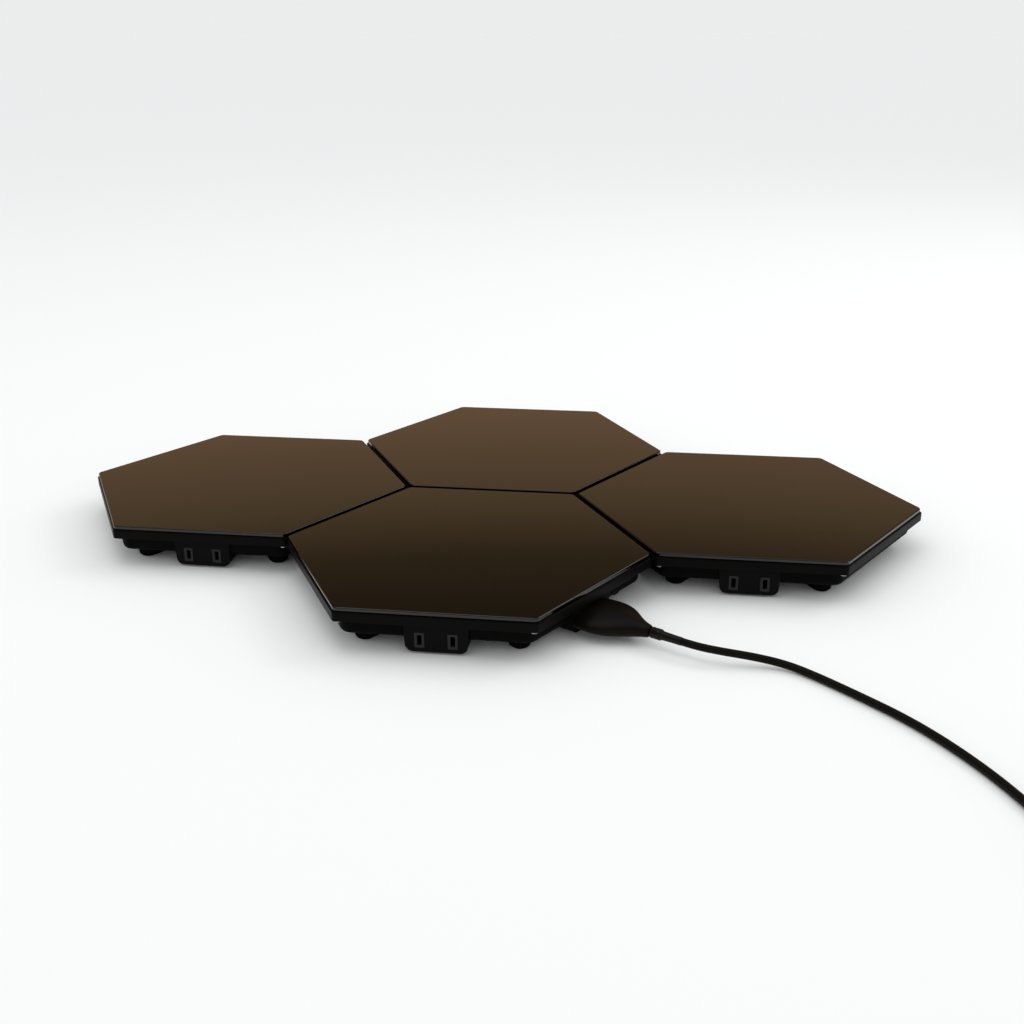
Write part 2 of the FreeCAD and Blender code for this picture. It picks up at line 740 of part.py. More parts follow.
def strain_relief(label):
    """Collar at the plug's tail and a tapered sleeve with grip rings, for the cord to leave through."""
    start = number("housing_face + connector_gap + plug_length")
    collar, ring_count = SIZES["relief_collar"], 5
    taper_start = SIZES["relief_collar_length"]
    profile = [(0, collar - 0.6), (0.8, collar), (taper_start - 0.8, collar), (taper_start, collar - 0.6)]
    step = (SIZES["relief_length"] - taper_start) / ring_count
    for ring in range(ring_count):
        near, share = taper_start + ring * step, ring / (ring_count - 1)
        radius = SIZES["relief_start"] + share * (SIZES["relief_end"] - SIZES["relief_start"])
        profile += [(near, radius - 0.35), (near + 0.25 * step, radius - 0.35),
                    (near + 0.4 * step, radius), (near + step, radius)]
    return part_feature(label, turned(profile, start, SIZES["socket_height"]))


def round_corner(before, corner, after):
    """Return the ends, middle and radius of the arc that rounds a route's corner."""
    back, ahead = before - corner, after - corner
    shorter = min(back.Length, ahead.Length)
    back.normalize()
    ahead.normalize()
    turn = math.pi - back.getAngle(ahead)
    setback = 0.45 * shorter
    radius = setback / math.tan(turn / 2)
    inward = (back + ahead).normalize()
    hub = corner + inward * (radius / math.cos(turn / 2))
    return corner + back * setback, hub - inward * radius, corner + ahead * setback, radius


def route_wire(points):
    """Return straight runs joined by tangent arcs through a route, with the arcs' radii."""
    edges, radii, place = [], [], points[0]
    for before, corner, after in zip(points, points[1:], points[2:]):
        start, middle, end, radius = round_corner(before, corner, after)
        edges += [Part.LineSegment(place, start), Part.Arc(start, middle, end)]
        radii.append(radius)
        place = end
    edges.append(Part.LineSegment(place, points[-1]))
    return Part.Wire([edge.toShape() for edge in edges]), radii


def tube_along(wire, direction):
    """Sweep the cord's round section along a wire that starts in a direction."""
    start = wire.Edges[0].valueAt(wire.Edges[0].FirstParameter)
    section = Part.Wire(Part.makeCircle(SIZES["cord_diameter"] / 2, start, direction))
    return wire.makePipeShell([section], True, False)


def bent_edge(start, direction, end):
    """Return the arc that leaves a point in a direction and reaches another point."""
    chord = end - start
    across = chord - direction * chord.dot(direction)
    if across.Length < 1e-6:
        return Part.LineSegment(start, end)
    radius = chord.dot(chord) / (2 * across.Length)
    hub = start + across.normalize() * radius
    middle = hub + ((start + end) * 0.5 - hub).normalize() * radius
    return Part.Arc(start, middle, end)


def biarc(start, leave, end, arrive):
    """Return two arcs that join two points smoothly, with a given direction at each."""
    chord, both = end - start, leave + arrive
    spread = 2 * (1 - leave.dot(arrive))
    along = chord.dot(both)
    reach = (-along + math.sqrt(along * along + spread * chord.dot(chord))) / spread
    joint = (start + end + (leave - arrive) * reach) * 0.5
    second = bent_edge(end, arrive * -1, joint)
    second.reverse()
    return [bent_edge(start, leave, joint), second]


class CordCoil:
    """The lead's put-away coil: two layers of loops that spiral in and, a layer higher, out again."""

    def __init__(self, start, heading):
        self.start = start
        self.heading = heading
        self.turns = SIZES["coil_turns"]
        self.spacing = SIZES["coil_spacing"]
        self.turn_back = self.turns / 2
        self.inner = SIZES["coil_middle"] - self.spacing * self.turns / 4
        lean = math.atan2(self.spacing, 2 * math.pi * self.radius(0))
        self.angle = math.atan2(heading.y, heading.x) - math.pi / 2 - lean
        self.lead_in, self.lead_out = SIZES["cord_diameter"], SIZES["coil_lead_out"]
        first = start + heading * self.lead_in
        out = Vector(math.cos(self.angle), math.sin(self.angle), 0)
        self.centre = first - out * self.radius(0)

    def radius(self, turn):
        """Return the spiral's radius after some turns, eased where it turns back outwards."""
        away = abs(turn - self.turn_back)
        ease = 0.25
        steps = away if away > ease else 0.5 * ease + away * away / (2 * ease)
        return self.inner + self.spacing * steps

    def rise(self, turn):
        """Return the height climbed, one layer in the half turn where the spiral turns back."""
        share = min(max(2 * (turn - self.turn_back) + 0.5, 0.0), 1.0)
        return self.spacing * (1 - math.cos(math.pi * share)) / 2

    def place(self, turn):
        """Return the point of the cord's middle after some turns."""
        angle = self.angle + 2 * math.pi * turn
        reach = self.radius(turn)
        return Vector(self.centre.x + reach * math.cos(angle), self.centre.y + reach * math.sin(angle),
                      self.start.z + self.rise(turn))

    def direction(self, turn):
        """Return the cord's direction after some turns."""
        step = 1e-4
        ahead, back = min(turn + step, self.turns), max(turn - step, 0.0)
        return (self.place(ahead) - self.place(back)).normalize()

    def wire(self):
        """Return the whole path: a straight lead in, the loops, and a straight lead out."""
        quarter = 0.25
        marks = [quarter * i for i in range(round(self.turns / quarter) + 1)]
        edges = [Part.LineSegment(self.start, self.place(0))]
        for near, far in zip(marks, marks[1:]):
            edges += biarc(self.place(near), self.direction(near), self.place(far), self.direction(far))
        last, self.leave = self.place(self.turns), self.direction(self.turns)
        self.end = last + self.leave * self.lead_out
        edges.append(Part.LineSegment(last, self.end))
        return Part.Wire([edge.toShape() for edge in edges])

    def least_gap(self):
        """Measure the least gap of the tube to itself on points along its loops."""
        per_turn = 90
        points = [self.place(i / per_turn) for i in range(round(self.turns * per_turn) + 1)]
        apart = per_turn // 3
        nearest = min((points[i] - points[k]).Length
                      for i in range(len(points)) for k in range(i + apart, len(points)))
        return nearest - SIZES["cord_diameter"]


def coil_tie(label, coil):
    """Flat strap in a closed loop round all of the coil's turns on one side."""
    thick, wide, slack = SIZES["tie_thick"], SIZES["tie_wide"], 0.6
    half_cord = SIZES["cord_diameter"] / 2 + slack
    low, high = coil.inner - half_cord, coil.radius(0) + half_cord
    bottom = SIZES["coil_level"] - SIZES["cord_diameter"] / 2
    tall = SIZES["cord_diameter"] + coil.spacing + slack
    outside = Part.makeBox(high - low + 2 * thick, wide, tall + 2 * thick,
                           Vector(low - thick, -wide / 2, bottom - thick))
    inside = Part.makeBox(high - low, wide, tall, Vector(low, -wide / 2, bottom))
    loop = outside.cut(inside)
    across = [edge for edge in loop.Edges if abs(edge.Vertexes[0].Point.y - edge.Vertexes[-1].Point.y) > 1]
    tie = part_feature(label, loop.makeFillet(0.35 * thick, across[:4]))
    angle = math.degrees(coil.angle) + 90
    tie.Placement = FreeCAD.Placement(Vector(coil.centre.x, coil.centre.y, 0),
                                      FreeCAD.Rotation(Vector(0, 0, 1), angle))
    return tie


def rounded_section(along, width, tall, corner):
    """Return a rounded rectangle across X, about the X axis."""
    half_w, half_t = width / 2, tall / 2
    hubs = [(half_w - corner, half_t - corner), (-half_w + corner, half_t - corner),
            (-half_w + corner, -half_t + corner), (half_w - corner, -half_t + corner)]
    edges, ends = [], []
    for quarter, (y, z) in enumerate(hubs):
        turns = [math.radians(90 * quarter + step) for step in (0, 45, 90)]
        arc = [Vector(along, y + corner * math.cos(turn), z + corner * math.sin(turn)) for turn in turns]
        ends.append((arc[0], arc[2]))
        edges.append(Part.Arc(*arc).toShape())
    sides = [Part.LineSegment(ends[i][1], ends[(i + 1) % 4][0]).toShape() for i in range(4)]
    return Part.Wire([edge for pair in zip(edges, sides) for edge in pair])


def mains_plug(coil):
    """Two-pin mains plug on the lead's far end: a moulded grip and a pair of round pins."""
    length, face, tall = SIZES["mains_length"], SIZES["mains_face"], SIZES["mains_tall"]
    tail = SIZES["mains_tail"]
    sections = [rounded_section(0, tail, tail, 0.3 * tail),
                rounded_section(0.3 * length, tail + 1, tail + 1, 0.3 * tail),
                rounded_section(0.6 * length, 0.9 * face, 0.9 * tall, 0.25 * tall),
                rounded_section(0.75 * length, face, tall, 0.25 * tall),
                rounded_section(length, face, tall, 0.25 * tall)]
    grip = Part.makeLoft(sections, True, True)
    radius, inside = SIZES["pin_radius"], SIZES["pin_inside"]
    pins = []
    for side in (-1, 1):
        foot = Vector(length - inside, side * SIZES["pin_spacing"] / 2, 0)
        shank = Part.makeCylinder(radius, inside + SIZES["pin_length"] - radius / 2, foot, Vector(1, 0, 0))
        tip = Part.makeCone(radius, radius / 2, radius / 2,
                            foot + Vector(inside + SIZES["pin_length"] - radius / 2, 0, 0), Vector(1, 0, 0))
        pins.append(shank.fuse(tip).removeSplitter())
    for pin in pins:
        grip = grip.cut(pin)
    heading = math.degrees(math.atan2(coil.leave.y, coil.leave.x))
    seat = FreeCAD.Placement(coil.end, FreeCAD.Rotation(Vector(0, 0, 1), heading))
    pieces = [part_feature("mains_plug_body", grip), part_feature("mains_plug_pins", Part.makeCompound(pins))]
    for piece in pieces:
        piece.Placement = seat
    return pieces


def build_tiles():
    """Build every piece of every tile."""
    pieces = []
    for tile, (_, _, turn) in TILES.items():
        for name, build in TILE_PIECES.items():
            pieces.append(set_on_tile(build(f"{tile}_{name}"), tile, turn))
    return pieces


def build_links():
    """Build the connectors that join neighbouring tiles."""
    pieces = []
    start = "housing_face + connector_gap - blade_reach"
    length = "pitch - housing_face - housing_face - connector_gap - connector_gap + blade_reach + blade_reach"
    for name, (tile, angle) in LINKS.items():
        for piece in (link_connector(f"link_{name}_body"), blades(f"link_{name}_blades", start, length)):
            pieces.append(set_on_tile(piece, tile, angle))
    return pieces


def build_plug():
    """Build the appliance plug and its strain relief."""
    contacts = blades("plug_blades", "housing_face + connector_gap - blade_reach",
                      "blade_reach + plug_blade_inside")
    doc.recompute()
    pieces = [contacts, plug_shell("plug_upper_shell", 1, contacts),
              plug_shell("plug_lower_shell", -1, contacts), strain_relief("cord_strain_relief")]
    return [set_on_tile(piece, PLUG_TILE, PLUG_ANGLE) for piece in pieces]


def build_cord():
    """Build the lead: its free stretch, its coil and tie, and its mains plug."""
    angle = math.radians(PLUG_ANGLE)
    leave = Vector(math.cos(angle), math.sin(angle), 0)
    out = number("housing_face + connector_gap + plug_length + relief_length")
    relief_end = tile_centre(PLUG_TILE) + leave * out + Vector(0, 0, SIZES["socket_height"])
    points = [relief_end, relief_end + leave * CORD_STRAIGHT] + [Vector(*point) for point in CORD_POINTS]
    start = Vector(*COIL_START, SIZES["coil_level"])
    heading = (start - points[-1]).normalize()
    heading = Vector(heading.x, heading.y, 0).normalize()
    points.append(start)
    wire, radii = route_wire(points)
    tube = tube_along(wire, leave)
    area = math.pi * SIZES["cord_diameter"] ** 2 / 4
    print("cord exit", [round(v, 2) for v in relief_end], "radii", [round(r, 1) for r in radii])
    print("cord free length", round(wire.Length, 1),
          "volume share", round(tube.Volume / (area * wire.Length), 4))
    coil = CordCoil(start, heading)
    loops = coil.wire()
    coiled = tube_along(loops, heading)
    print("coil length", round(loops.Length, 1),
          "volume share", round(coiled.Volume / (area * loops.Length), 4), "least gap", round(coil.least_gap(), 2), "inner radius", round(coil.inner, 1),
          "centre", [round(v, 1) for v in coil.centre], "end", [round(v, 1) for v in coil.end])
    pieces = [part_feature("power_cord", tube), part_feature("cord_coil", coiled), coil_tie("coil_tie", coil)]
    return pieces + mains_plug(coil)


def export(pieces):
    """Check every object and every piece, then write each piece's STEP file."""
    doc.recompute()
    for item in doc.Objects:
        if "Invalid" in item.State or "Error" in item.State:
            raise RuntimeError(f"{item.Label} failed: {item.State}")
    for piece in pieces:
        if piece.Shape.isNull() or not piece.Shape.isValid() or not piece.Shape.Solids:
            raise RuntimeError(f"{piece.Label} has no valid shape")
    os.makedirs("parts", exist_ok=True)
    for piece in pieces:
        piece.Shape.exportStep(f"parts/{piece.Label}.step")
    print(len(pieces), "pieces written")


export(build_tiles() + build_links() + build_plug() + build_cord())
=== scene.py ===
"""Studio scene of a modular electric food warmer: four hexagonal warming tiles and their lead."""
from __future__ import annotations

import logging
import math
from collections.abc import Callable
from dataclasses import dataclass, field
from enum import Enum

import bpy
from mathutils import Matrix, Vector

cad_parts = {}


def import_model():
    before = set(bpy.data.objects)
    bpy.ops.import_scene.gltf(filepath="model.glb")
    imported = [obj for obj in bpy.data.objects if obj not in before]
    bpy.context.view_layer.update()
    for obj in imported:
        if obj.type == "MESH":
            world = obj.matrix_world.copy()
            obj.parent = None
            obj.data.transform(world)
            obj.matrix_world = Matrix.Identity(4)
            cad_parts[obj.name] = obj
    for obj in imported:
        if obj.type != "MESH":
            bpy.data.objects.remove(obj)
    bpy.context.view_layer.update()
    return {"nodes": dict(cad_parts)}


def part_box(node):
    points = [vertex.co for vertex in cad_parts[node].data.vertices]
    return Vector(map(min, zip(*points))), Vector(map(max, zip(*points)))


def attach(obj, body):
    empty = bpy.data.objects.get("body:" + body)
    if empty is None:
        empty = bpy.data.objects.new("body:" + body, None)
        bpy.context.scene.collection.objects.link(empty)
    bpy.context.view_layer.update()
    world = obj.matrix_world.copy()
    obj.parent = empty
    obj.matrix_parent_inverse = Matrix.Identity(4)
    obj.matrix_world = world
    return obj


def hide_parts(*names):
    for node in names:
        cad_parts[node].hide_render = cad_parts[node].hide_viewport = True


LOG = logging.getLogger("food_warmer")
MM = 0.001
ON_PLANE = 0.1 * MM
MERGE_WITHIN = 0.01 * MM
FLAT_DEGREES = 0.5
CORNERS = 6

BROAD_GRAINS = 60
BUMP_STRENGTH = 0.6
MOTTLE_BAND = (0.35, 0.65)
TRACE_SCALE = 0.05


class Tile(Enum):
    """The four warming tiles, each with its centre in pitches and its turn in degrees."""

    FRONT = ("front", 0.0, -0.5, 0.0)
    BACK = ("back", 0.0, 0.5, -60.0)
    LEFT = ("left", -math.sqrt(3) / 2, 0.0, 0.0)
    RIGHT = ("right", math.sqrt(3) / 2, 0.0, 180.0)

    @property
    def word(self) -> str:
        """Return the tile's name as its nodes spell it."""
        return self.value[0]

    @property
    def body(self) -> str:
        """Return the tile's rigid body."""
        return f"{self.word}_tile"

    def centre(self, pitch: float) -> Vector:
        """Return the tile's centre on the table."""
        return Vector((self.value[1] * pitch, self.value[2] * pitch, 0.0))


class Pattern(Enum):
    """What a finish shows close up."""

    MOULDED = "fine moulded grain"
    POLISHED = "polished, with faint smears"
    BRUSHED = "fine lines one way"
    FIBROUS = "matted fibres"
    TRACED = "printed conductor traces"


LINES_ACROSS = {Pattern.BRUSHED: 12.0, Pattern.FIBROUS: 3.0}


@dataclass(frozen=True)
class Finish:
    """A procedural surface finish on Object coordinates.

    Attributes:
        name: Its material's name is made from it.
        colour: Main linear colour.
        pattern: What it shows close up.
        roughness: Lowest and highest roughness.
        grain: Size of the finest detail, in metres.
        depth: Height of the finest detail, in metres.
        specular: Strength of the plain reflection.
        metallic: 1 for bare metal.
        mottle: Colour that it is mottled with; a black moulding has none.
    """

    name: str
    colour: tuple[float, float, float]
    pattern: Pattern
    roughness: tuple[float, float]
    grain: float
    depth: float
    specular: float = 0.5
    metallic: float = 0.0
    mottle: tuple[float, float, float] | None = None

    def material(self) -> bpy.types.Material:
        """Return the finish as a material, made once.

        Returns:
            The material that every piece with this finish shares.
        """
        name = f"{self.name}_surface"
        made = bpy.data.materials.get(name)
        if made is not None:
            return made
        made = bpy.data.materials.new(name)
        made.use_nodes = True
        nodes, links = made.node_tree.nodes, made.node_tree.links
        shader = nodes["Principled BSDF"]
        shader.inputs["Metallic"].default_value = self.metallic
        shader.inputs["Specular IOR Level"].default_value = self.specular
        place = nodes.new("ShaderNodeTexCoord").outputs["Object"]
        fine = self._detail(nodes, links, place)
        broad = self._noise(nodes, links, place, 1 / (BROAD_GRAINS * self.grain), 3.0)
        shader.inputs["Base Color"].default_value = (*self.colour, 1.0)
        if self.mottle is not None:
            tone = nodes.new("ShaderNodeValToRGB")
            links.new(broad, tone.inputs["Fac"])
            first, last = tone.color_ramp.elements
            first.position, last.position = MOTTLE_BAND
            first.color, last.color = (*self.colour, 1.0), (*self.mottle, 1.0)
            links.new(tone.outputs["Color"], shader.inputs["Base Color"])
        rough = nodes.new("ShaderNodeMapRange")
        links.new(broad if self.pattern is Pattern.POLISHED else fine, rough.inputs["Value"])
        rough.inputs["To Min"].default_value, rough.inputs["To Max"].default_value = self.roughness
        links.new(rough.outputs["Result"], shader.inputs["Roughness"])
        bump = nodes.new("ShaderNodeBump")
        bump.inputs["Distance"].default_value = self.depth
        bump.inputs["Strength"].default_value = BUMP_STRENGTH
        links.new(fine, bump.inputs["Height"])
        links.new(bump.outputs["Normal"], shader.inputs["Normal"])
        return made

    def _noise(self, nodes: bpy.types.Nodes, links: bpy.types.NodeLinks, place: bpy.types.NodeSocket,
               scale: float, detail: float) -> bpy.types.NodeSocket:
        """Return a noise value over Object coordinates.

        Args:
            nodes: The material's nodes.
            links: The material's links.
            place: The coordinates to read.
            scale: How many features go to a metre.
            detail: How many finer layers are added.

        Returns:
            The noise node's factor socket.
        """
        noise = nodes.new("ShaderNodeTexNoise")
        noise.inputs["Scale"].default_value = scale
        noise.inputs["Detail"].default_value = detail
        links.new(place, noise.inputs["Vector"])
        return noise.outputs["Fac"]

    def _detail(self, nodes: bpy.types.Nodes, links: bpy.types.NodeLinks,
                place: bpy.types.NodeSocket) -> bpy.types.NodeSocket:
        """Return the finest detail of the pattern.

        Args:
            nodes: The material's nodes.
            links: The material's links.
            place: The coordinates to read.

        Returns:
            A socket with the detail's height.
        """
        if self.pattern is Pattern.TRACED:
            wave = nodes.new("ShaderNodeTexWave")
            wave.inputs["Scale"].default_value = TRACE_SCALE / self.grain
            links.new(place, wave.inputs["Vector"])
            return wave.outputs["Fac"]
        across = LINES_ACROSS.get(self.pattern)
        if across is not None:
            stretch = nodes.new("ShaderNodeMapping")
            stretch.inputs["Scale"].default_value = (1.0, across, across)
            links.new(place, stretch.inputs["Vector"])
            place = stretch.outputs["Vector"]
        return self._noise(nodes, links, place, 1 / self.grain, 2.0)


GLASS = Finish("black_glass", (0.0008, 0.0006, 0.0004), Pattern.POLISHED, (0.02, 0.05), 0.004, 0.0000005)
SATIN = Finish("frame_black", (0.0024, 0.0023, 0.0021), Pattern.MOULDED, (0.3, 0.42), 0.0006, 0.00001, 0.04)
MOULDING = Finish("pan_black", (0.002, 0.0021, 0.002), Pattern.MOULDED, (0.5, 0.66), 0.0007, 0.00003, 0.03)
HOUSING = Finish("housing_black", (0.0036, 0.0037, 0.0036), Pattern.MOULDED, (0.45, 0.6), 0.0006, 0.00003,
                 0.04)
LINER = Finish("liner_grey", (0.024, 0.024, 0.024), Pattern.MOULDED, (0.5, 0.65), 0.0006, 0.00002, 0.06)
SILICONE = Finish("seal_silicone", (0.002, 0.002, 0.002), Pattern.MOULDED, (0.6, 0.75), 0.0008, 0.00002,
                  0.05)
RUBBER = Finish("foot_rubber", (0.002, 0.0022, 0.0021), Pattern.MOULDED, (0.6, 0.8), 0.0009, 0.00004, 0.03)
PLUG = Finish("plug_black", (0.0042, 0.0032, 0.0021), Pattern.MOULDED, (0.34, 0.46), 0.0007, 0.00002, 0.08)
RELIEF = Finish("relief_black", (0.004, 0.0037, 0.0032), Pattern.MOULDED, (0.26, 0.38), 0.0006, 0.00001,
                0.14)
CORD = Finish("cord_black", (0.0042, 0.0038, 0.0026), Pattern.MOULDED, (0.34, 0.48), 0.0009, 0.00002, 0.07)
TIE = Finish("tie_black", (0.006, 0.006, 0.006), Pattern.MOULDED, (0.4, 0.55), 0.0005, 0.00002, 0.1)
LINK = Finish("link_black", (0.003, 0.003, 0.003), Pattern.MOULDED, (0.45, 0.6), 0.0007, 0.00003, 0.05)
MAINS = Finish("mains_black", (0.005, 0.0048, 0.0045), Pattern.MOULDED, (0.35, 0.5), 0.0007, 0.00003, 0.1)
BRASS = Finish("contact_brass", (0.62, 0.42, 0.16), Pattern.BRUSHED, (0.2, 0.35), 0.0006, 0.00001,
               metallic=1.0, mottle=(0.5, 0.32, 0.12))
NICKEL = Finish("pin_brass", (0.62, 0.58, 0.5), Pattern.BRUSHED, (0.18, 0.3), 0.0005, 0.00001,
                metallic=1.0, mottle=(0.5, 0.47, 0.41))
STEEL = Finish("screw_steel", (0.4, 0.4, 0.39), Pattern.BRUSHED, (0.25, 0.4), 0.0005, 0.00001,
               metallic=1.0, mottle=(0.3, 0.3, 0.29))
FILM = Finish("heating_film", (0.33, 0.14, 0.02), Pattern.TRACED, (0.3, 0.5), 0.003, 0.00005,
              mottle=(0.4, 0.2, 0.04))
WOOL = Finish("insulation_fibre", (0.62, 0.59, 0.52), Pattern.FIBROUS, (0.85, 0.95), 0.0012, 0.0004,
              mottle=(0.5, 0.47, 0.4))

NODE_FINISHES = {
    "glass_seal": SILICONE,
    "heating_film": FILM,
    "insulation_board": WOOL,
    "top_frame": SATIN,
    "base_pan": MOULDING,
    "socket_housings": HOUSING,
    "socket_liners": LINER,
    "bus_bars": BRASS,
    "rubber_feet": RUBBER,
    "pan_screws": STEEL,
}


class Bench:
    """Hand tools: select parts of a mesh, shape it and finish it."""

    area_weight = 100

    @staticmethod
    def clear() -> None:
        """Leave edit mode and deselect everything."""
        if bpy.context.object is not None and bpy.context.object.mode != "OBJECT":
            bpy.ops.object.mode_set(mode="OBJECT")
        bpy.ops.object.select_all(action="DESELECT")

    @staticmethod
    def pick(piece: bpy.types.Object) -> None:
        """Make one piece the only selected and the active one."""
        Bench.clear()
        piece.select_set(True)
        bpy.context.view_layer.objects.active = piece

    @staticmethod
    def select_edges(piece: bpy.types.Object, test: Callable[[Vector, Vector], bool]) -> None:
        """Select the edges of a piece whose two ends pass a test, and enter edit mode.

        Args:
            piece: The mesh object.
            test: Takes the edge's two points and tells whether it is wanted.
        """
        Bench.pick(piece)
        bpy.ops.object.mode_set(mode="EDIT")
        bpy.ops.mesh.select_mode(type="EDGE")
        bpy.ops.mesh.select_all(action="DESELECT")
        bpy.ops.object.mode_set(mode="OBJECT")
        points = piece.data.vertices
        for edge in piece.data.edges:
            first, second = (points[index].co for index in edge.vertices)
            edge.select = bool(test(first, second))
        bpy.ops.object.mode_set(mode="EDIT")

    @staticmethod
    def settle(piece: bpy.types.Object) -> None:
        """Put the piece's place into its mesh, so that its object sits at the origin."""
        Bench.pick(piece)
        bpy.ops.object.transform_apply(location=True, rotation=True, scale=True)

    @staticmethod
    def apply_modifiers(piece: bpy.types.Object) -> None:
        """Apply every modifier of a piece."""
        Bench.pick(piece)
        for modifier in list(piece.modifiers):
            bpy.ops.object.modifier_apply(modifier=modifier.name)

    @staticmethod
    def bevel(offset: float, segments: int) -> None:
        """Bevel the selected edges and leave edit mode."""
        bpy.ops.mesh.bevel(offset=offset, segments=segments, affect="EDGES")
        bpy.ops.object.mode_set(mode="OBJECT")

    @staticmethod
    def smooth(piece: bpy.types.Object, degrees: float) -> None:
        """Shade a piece smooth except at edges sharper than an angle."""
        Bench.pick(piece)
        bpy.ops.object.shade_smooth_by_angle(angle=math.radians(degrees))

    @staticmethod
    def weigh_normals(piece: bpy.types.Object) -> None:
        """Let the large faces set the shading at their edges, so that flat faces reflect as flat."""
        weighted = piece.modifiers.new("weighted", "WEIGHTED_NORMAL")
        weighted.keep_sharp = True
        weighted.weight = Bench.area_weight
        Bench.apply_modifiers(piece)

    @staticmethod
    def extrude_to(step: float, wide: float, tall: float, centre: Vector) -> None:
        """Extrude the selected ring along X and give the new ring another size.

        Args:
            step: How far it goes along X.
            wide: How much wider the new ring is, along Y.
            tall: How much taller it is, along Z.
            centre: The new ring's middle.
        """
        bpy.ops.mesh.extrude_region_move(TRANSFORM_OT_translate={"value": (step, 0, 0)})
        bpy.ops.transform.resize(value=(1, wide, tall), center_override=centre)

    @staticmethod
    def finish(piece: bpy.types.Object, name: str, finish: Finish, body: str, *nodes: str) -> None:
        """Name a piece, dress it, and let it ride on its body in place of its nodes.

        Args:
            piece: The finished mesh object, at the origin.
            name: Its name.
            finish: What it is dressed in.
            body: The rigid body that it moves with.
            *nodes: The CAD nodes that it stands for.
        """
        piece.name = name
        piece.data.name = name
        piece.data.materials.clear()
        piece.data.materials.append(finish.material())
        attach(piece, body)
        if nodes:
            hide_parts(*nodes)
        LOG.info("%s: %d faces", name, len(piece.data.polygons) if piece.type == "MESH" else 0)


def dress(node: bpy.types.Object, finish: Finish) -> None:
    """Give a CAD node its finish where it is.

    Args:
        node: The CAD node's object.
        finish: What it is dressed in.
    """
    node.data.materials.clear()
    node.data.materials.append(finish.material())
    LOG.info("%s dressed in %s", node.name, finish.name)


def merged_copy(node: bpy.types.Object, name: str) -> bpy.types.Object:
    """Copy a CAD node's mesh into a new piece whose loose triangles are joined.

    Args:
        node: The CAD node's object.
        name: The new piece's name.

    Returns:
        The new piece.
    """
    piece = bpy.data.objects.new(name, node.data.copy())
    bpy.context.scene.collection.objects.link(piece)
    Bench.pick(piece)
    bpy.ops.object.mode_set(mode="EDIT")
    bpy.ops.mesh.select_all(action="SELECT")
    bpy.ops.mesh.remove_doubles(threshold=MERGE_WITHIN)
    bpy.ops.mesh.dissolve_limited(angle_limit=math.radians(FLAT_DEGREES))
    bpy.ops.object.mode_set(mode="OBJECT")
    return piece


@dataclass
class WarmingTile:
    """One hexagonal tile: its glass top is modelled, and its mouldings get eased, smooth edges."""

    tile: Tile
    nodes: dict[str, bpy.types.Object]
    pitch: float = 0.270
    glass_thick: float = 0.003
    corner_round: float = 0.003
    corner_facets: int = 6
    top_bevel: float = 0.0009
    top_facets: int = 3
    edge_ease: float = 0.0003
    ease_facets: int = 2
    ease_above: float = 50.0
    glass_sharp: float = 30.0
    moulded_sharp: float = 35.0
    moulded: tuple[str, ...] = ("top_frame", "base_pan", "socket_housings", "socket_liners", "rubber_feet")

    def build(self) -> None:
        """Build and dress the whole tile."""
        self.glass()
        for name in self.moulded:
            self.moulding(name)
        for name, finish in NODE_FINISHES.items():
            if name not in self.moulded:
                dress(self.nodes[f"{self.tile.word}_{name}"], finish)

    def glass(self) -> None:
        """Model the glass: a six-sided plate with rounded corners and a polished bevel."""
        node = f"{self.tile.word}_glass_top"
        low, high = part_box(node)
        centre = self.tile.centre(self.pitch)
        radius = (high.y - low.y) / math.sqrt(3)
        Bench.clear()
        bpy.ops.mesh.primitive_cylinder_add(
            vertices=CORNERS, radius=radius, depth=high.z - low.z,
            location=(centre.x, centre.y, (low.z + high.z) / 2), rotation=(0, 0, math.radians(30)))
        plate = bpy.context.object
        Bench.settle(plate)
        Bench.select_edges(plate, lambda a, b: abs(a.z - b.z) > 0.5 * self.glass_thick)
        Bench.bevel(self.corner_round, self.corner_facets)
        Bench.select_edges(plate, lambda a, b: min(a.z, b.z) > high.z - ON_PLANE)
        Bench.bevel(self.top_bevel, self.top_facets)
        Bench.select_edges(plate, lambda a, b: max(a.z, b.z) < low.z + ON_PLANE)
        Bench.bevel(self.edge_ease, 1)
        Bench.smooth(plate, self.glass_sharp)
        Bench.weigh_normals(plate)
        Bench.finish(plate, f"{self.tile.word}_glass_plate", GLASS, self.tile.body, node)

    def moulding(self, name: str) -> None:
        """Ease the edges of a moulded node's copy and shade it smooth.

        Args:
            name: The node's name without its tile.
        """
        node = f"{self.tile.word}_{name}"
        piece = merged_copy(self.nodes[node], f"{node}_moulding")
        ease = piece.modifiers.new("ease", "BEVEL")
        ease.width = self.edge_ease if name != "socket_liners" else self.edge_ease / 2
        ease.segments = self.ease_facets
        ease.limit_method = "ANGLE"
        ease.angle_limit = math.radians(self.ease_above)
        ease.use_clamp_overlap = True
        Bench.apply_modifiers(piece)
        Bench.smooth(piece, self.moulded_sharp)
        Bench.weigh_normals(piece)
        Bench.finish(piece, f"{node}_moulding", NODE_FINISHES[name], self.tile.body, node)


